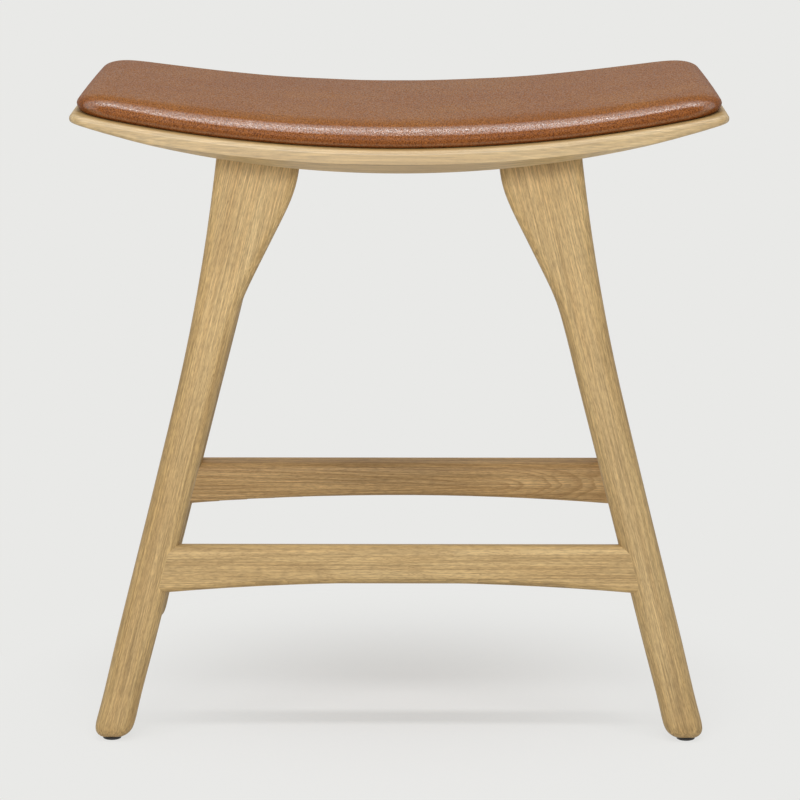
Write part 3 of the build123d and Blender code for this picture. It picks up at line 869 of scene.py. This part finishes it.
def makeCushion():
    profile = [(inset, "low", padSet["gap"]) for inset in padSet["underInsets"]]
    profile += quarterTurn(padSet["underRound"], padSet["underSteps"], "low", padSet["gap"], 0.0, False)
    profile += quarterTurn(padSet["topRound"], padSet["topSteps"], "top", 0.0, 0.0, True)
    profile += [(inset, "top", 0.0) for inset in padSet["topInsets"]]
    cushion, underFaces = padMesh("cushion", profile, padSet["thick"], padSet["crown"])
    swell(cushion)
    # the underside stays open inside the turned-in hem
    mesh = bmesh.new()
    mesh.from_mesh(cushion.data)
    mesh.faces.ensure_lookup_table()
    bmesh.ops.delete(mesh, geom=[mesh.faces[n] for n in underFaces], context="FACES")
    bmesh.ops.recalc_face_normals(mesh, faces=mesh.faces)
    mesh.to_mesh(cushion.data)
    mesh.free()
    shell = cushion.modifiers.new("hide", "SOLIDIFY")
    shell.thickness = padSet["hide"]
    shell.offset = -1.0
    smoothAndDress(cushion, makeLeather())
    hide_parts("cushion_cover")
    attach(cushion, "root")


foamSet = {
    "clear": 0.0003,
    "low": 0.00775,
    "lowInsets": (0.004, 0.001),
    "sideStart": 0.004,
    "topInsets": (0.02, 0.031),
    "roundSteps": 6,
    "pale": (232, 224, 202),
    "deep": (222, 210, 180),
    "cellRate": 1400.0,
    "broadRate": 30.0,
    "cells": [(0.1, 0.62), (0.5, 1.0)],
    "cellAmount": 0.7,
    "rough": 0.95,
    "bump": (0.6, 0.0004),
}


def makeFoamMaterial():
    material, tree, shader = startMaterial("foam_cells")
    place = worldPlace(tree)
    cells = voronoiOf(tree, place, foamSet["cellRate"])
    broad = noiseOf(tree, place, foamSet["broadRate"], 2.0)
    colour = blendOf(tree, broad, linearOf(foamSet["pale"]), linearOf(foamSet["deep"]))
    shade = rampOf(tree, cells, foamSet["cells"])
    colour = blendOf(tree, foamSet["cellAmount"], colour, shade, "MULTIPLY")
    tree.links.new(colour, shader.inputs["Base Color"])
    shader.inputs["Roughness"].default_value = foamSet["rough"]
    tree.links.new(bumpOf(tree, cells, *foamSet["bump"]), shader.inputs["Normal"])
    return material


def makeFoam():
    inside = padSet["hide"] + foamSet["clear"]
    topRound = padSet["topRound"]
    profile = [(inside + inset, "low", foamSet["low"]) for inset in foamSet["lowInsets"]]
    profile += [(inside, "top", foamSet["sideStart"] - topRound)]
    profile += quarterTurn(topRound - inside, foamSet["roundSteps"], "top", 0.0, inside, True)[1:]
    profile += [(inset, "top", 0.0) for inset in foamSet["topInsets"]]
    foam = padMesh("foam", profile, padSet["thick"] - inside, padSet["crown"])[0]
    smoothAndDress(foam, makeFoamMaterial())
    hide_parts("cushion_foam")
    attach(foam, "root")


makeCushion()
makeFoam()
print("cushion done")


# Plywood, dowels, steel and glides

plywoodSet = {
    "pale": (214, 184, 140),
    "dark": (176, 138, 92),
    "layer": 0.001,
    "layers": [(0.35, 0.0), (0.65, 1.0)],
    "grainRate": (20.0, 500.0, 500.0),
    "grains": [(0.3, 0.78), (0.7, 1.05)],
    "grainAmount": 0.8,
    "rough": 0.7,
    "bump": (0.3, 0.0003),
}


def makePlywood():
    material, tree, shader = startMaterial("plywood_layers")
    place = worldPlace(tree)
    x, y, z = axesOf(tree, place)
    # layers lie one over the other along the curve of the saddle
    below = sums(tree, "SUBTRACT", z, saddle["top"] + saddle["radius"])
    depth = sums(tree, "SUBTRACT", lengthOf(tree, x, below), saddle["radius"])
    layers = sums(tree, "PINGPONG", sums(tree, "DIVIDE", depth, plywoodSet["layer"]), 1.0)
    layers = rampOf(tree, layers, plywoodSet["layers"])
    lines = drawnNoise(tree, place, plywoodSet["grainRate"])
    colour = blendOf(tree, layers, linearOf(plywoodSet["pale"]), linearOf(plywoodSet["dark"]))
    shade = rampOf(tree, lines, plywoodSet["grains"])
    colour = blendOf(tree, plywoodSet["grainAmount"], colour, shade, "MULTIPLY")
    tree.links.new(colour, shader.inputs["Base Color"])
    shader.inputs["Roughness"].default_value = plywoodSet["rough"]
    tree.links.new(bumpOf(tree, lines, *plywoodSet["bump"]), shader.inputs["Normal"])
    return material


dowelSet = {
    "pale": (214, 178, 138),
    "dark": (196, 154, 112),
    "fleck": (150, 104, 70),
    "grainRate": (700.0, 30.0, 700.0),
    "fleckRate": (1500.0, 400.0, 1500.0),
    "flecks": [(0.1, 0.5), (0.25, 0.0)],
    "rough": 0.65,
    "bump": (0.3, 0.0002),
}


def makeDowelWood():
    material, tree, shader = startMaterial("beech_flecks")
    place = worldPlace(tree)
    lines = drawnNoise(tree, place, dowelSet["grainRate"])
    flecks = rampOf(tree, drawnDots(tree, place, dowelSet["fleckRate"]), dowelSet["flecks"])
    colour = blendOf(tree, lines, linearOf(dowelSet["pale"]), linearOf(dowelSet["dark"]))
    colour = blendOf(tree, flecks, colour, linearOf(dowelSet["fleck"]))
    tree.links.new(colour, shader.inputs["Base Color"])
    shader.inputs["Roughness"].default_value = dowelSet["rough"]
    tree.links.new(bumpOf(tree, lines, *dowelSet["bump"]), shader.inputs["Normal"])
    return material


zincSet = {
    "colour": (0.62, 0.63, 0.66, 1.0),
    "spangleRate": 900.0,
    "spangleAmount": 0.12,
    "fineRate": 2400.0,
    "rough": [(0.3, 0.28), (0.7, 0.46)],
    "bump": (0.2, 0.00005),
}


def makeZinc():
    material, tree, shader = startMaterial("zinc_steel")
    place = worldPlace(tree)
    spangle = voronoiOf(tree, place, zincSet["spangleRate"], "F1", "Color")
    fine = noiseOf(tree, place, zincSet["fineRate"], 2.0)
    colour = blendOf(tree, zincSet["spangleAmount"], zincSet["colour"], spangle, "OVERLAY")
    tree.links.new(colour, shader.inputs["Base Color"])
    shader.inputs["Metallic"].default_value = 1.0
    tree.links.new(rampOf(tree, fine, zincSet["rough"]), shader.inputs["Roughness"])
    tree.links.new(bumpOf(tree, fine, *zincSet["bump"]), shader.inputs["Normal"])
    return material


glideSet = {
    "dark": (0.010, 0.010, 0.010, 1.0),
    "pale": (0.022, 0.021, 0.020, 1.0),
    "grainRate": 1800.0,
    "rough": [(0.3, 0.48), (0.7, 0.66)],
    "bump": (0.25, 0.0001),
}


def makeGlide():
    material, tree, shader = startMaterial("glide_black")
    dots = noiseOf(tree, worldPlace(tree), glideSet["grainRate"])
    tree.links.new(blendOf(tree, dots, glideSet["dark"], glideSet["pale"]), shader.inputs["Base Color"])
    tree.links.new(rampOf(tree, dots, glideSet["rough"]), shader.inputs["Roughness"])
    tree.links.new(bumpOf(tree, dots, *glideSet["bump"]), shader.inputs["Normal"])
    return material


dressNode("cushion_board", makePlywood())
dressNode("rail_dowels", makeDowelWood())
zinc = makeZinc()
for name in ("cover_staples", "tee_nuts", "pad_screws", "seat_screws", "glide_nails"):
    dressNode(name, zinc)
glideBlack = makeGlide()
for name in nodes:
    if name.endswith("_glide"):
        dressNode(name, glideBlack)
print("small parts done")
